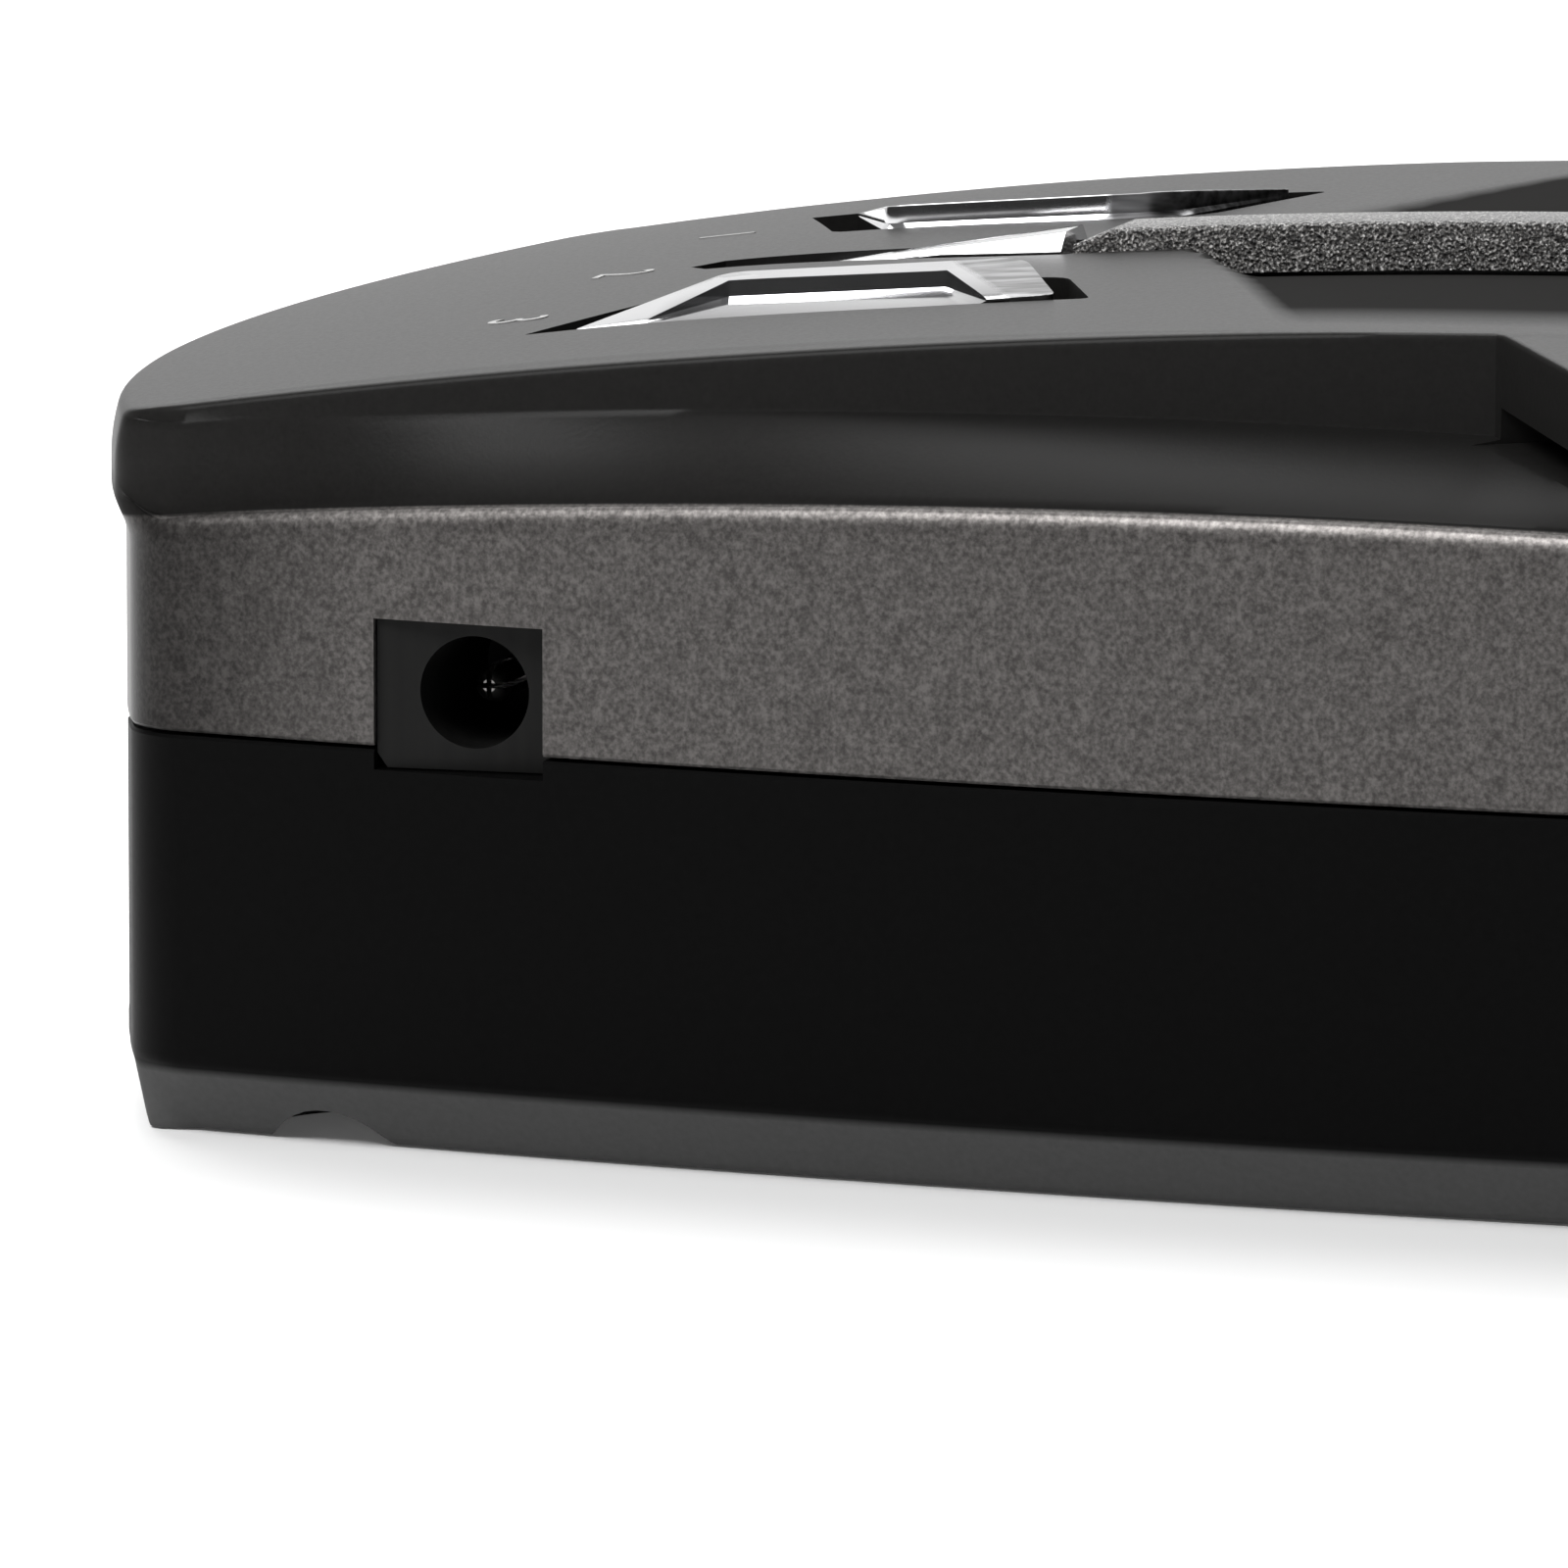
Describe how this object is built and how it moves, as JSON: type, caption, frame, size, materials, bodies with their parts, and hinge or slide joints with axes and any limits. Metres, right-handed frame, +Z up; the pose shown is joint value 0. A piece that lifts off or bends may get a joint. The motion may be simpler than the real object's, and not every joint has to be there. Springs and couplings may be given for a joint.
{
  "type": "radar detector",
  "caption": "Dashboard radar detector: two-part moulded case with chrome top buttons, a side power inlet, a thumbwheel, a rear display window and the receiver inside.",
  "frame": {"origin": "on the floor under the middle of the case's bounding box", "axes": "+Z up, +Y towards the front (antenna) end, -Y the display end, +X the side with the power inlet"},
  "size_m": [0.0698, 0.11, 0.0296],
  "materials": {
    "grey_paint": "metallic grey paint, satin",
    "black_plastic": "satin black",
    "textured_black": "spark-textured black",
    "chrome": "polished plating",
    "smoked_window": "smoked gloss",
    "steel": "plain",
    "cast_zinc": "as cast",
    "aluminium": "satin",
    "board": "solder mask",
    "display_face": "tinted",
    "lens_acrylic": "clear",
    "speaker_paper": "pressed paper"
  },
  "bodies": {
    "case": {"upper_case": "grey_paint", "lower_case": "black_plastic", "spine": "textured_black", "display_window": "smoked_window", "front_window": "smoked_window", "dc_jack": "black_plastic", "dc_jack_pin": "steel", "dc_jack_spring": "steel", "volume_pot": "black_plastic", "main_board": "board", "button_board": "board", "display_board": "board", "digit_display": "display_face", "board_connector": "black_plastic", "left_switch": "black_plastic", "centre_switch": "black_plastic", "right_switch": "black_plastic", "processor": "black_plastic", "regulator": "black_plastic", "capacitor_1": "aluminium", "capacitor_2": "aluminium", "horn_antenna": "cast_zinc", "microwave_module": "steel", "laser_lens": "lens_acrylic", "lens_holder": "black_plastic", "photodiode": "black_plastic", "speaker_frame": "steel", "speaker_cone": "speaker_paper", "speaker_magnet": "cast_zinc", "case_screw_1": "steel", "case_screw_2": "steel", "case_screw_3": "steel", "case_screw_4": "steel"},
    "volume_wheel": {"volume_wheel": "black_plastic"},
    "right_button": {"right_button": "chrome"},
    "left_button": {"left_button": "chrome"},
    "centre_button": {"centre_button": "chrome"}
  },
  "joints": [
    {"name": "right_button_press", "type": "slide", "parent": "case", "child": "right_button", "axis": [0, 0, -1], "range_m": [0, 0.0005], "stiffness_N_per_m": 800},
    {"name": "left_button_press", "type": "slide", "parent": "case", "child": "left_button", "axis": [0, 0, -1], "range_m": [0, 0.0005], "stiffness_N_per_m": 800},
    {"name": "centre_button_press", "type": "slide", "parent": "case", "child": "centre_button", "axis": [0, 0, -1], "range_m": [0, 0.0005], "stiffness_N_per_m": 800},
    {"name": "volume_wheel_turn", "type": "hinge", "parent": "case", "child": "volume_wheel", "pos_m": [-0.0254, -0.029, 0.0159], "axis": [0, 0, 1], "range_deg": [-140, 140]}
  ]
}
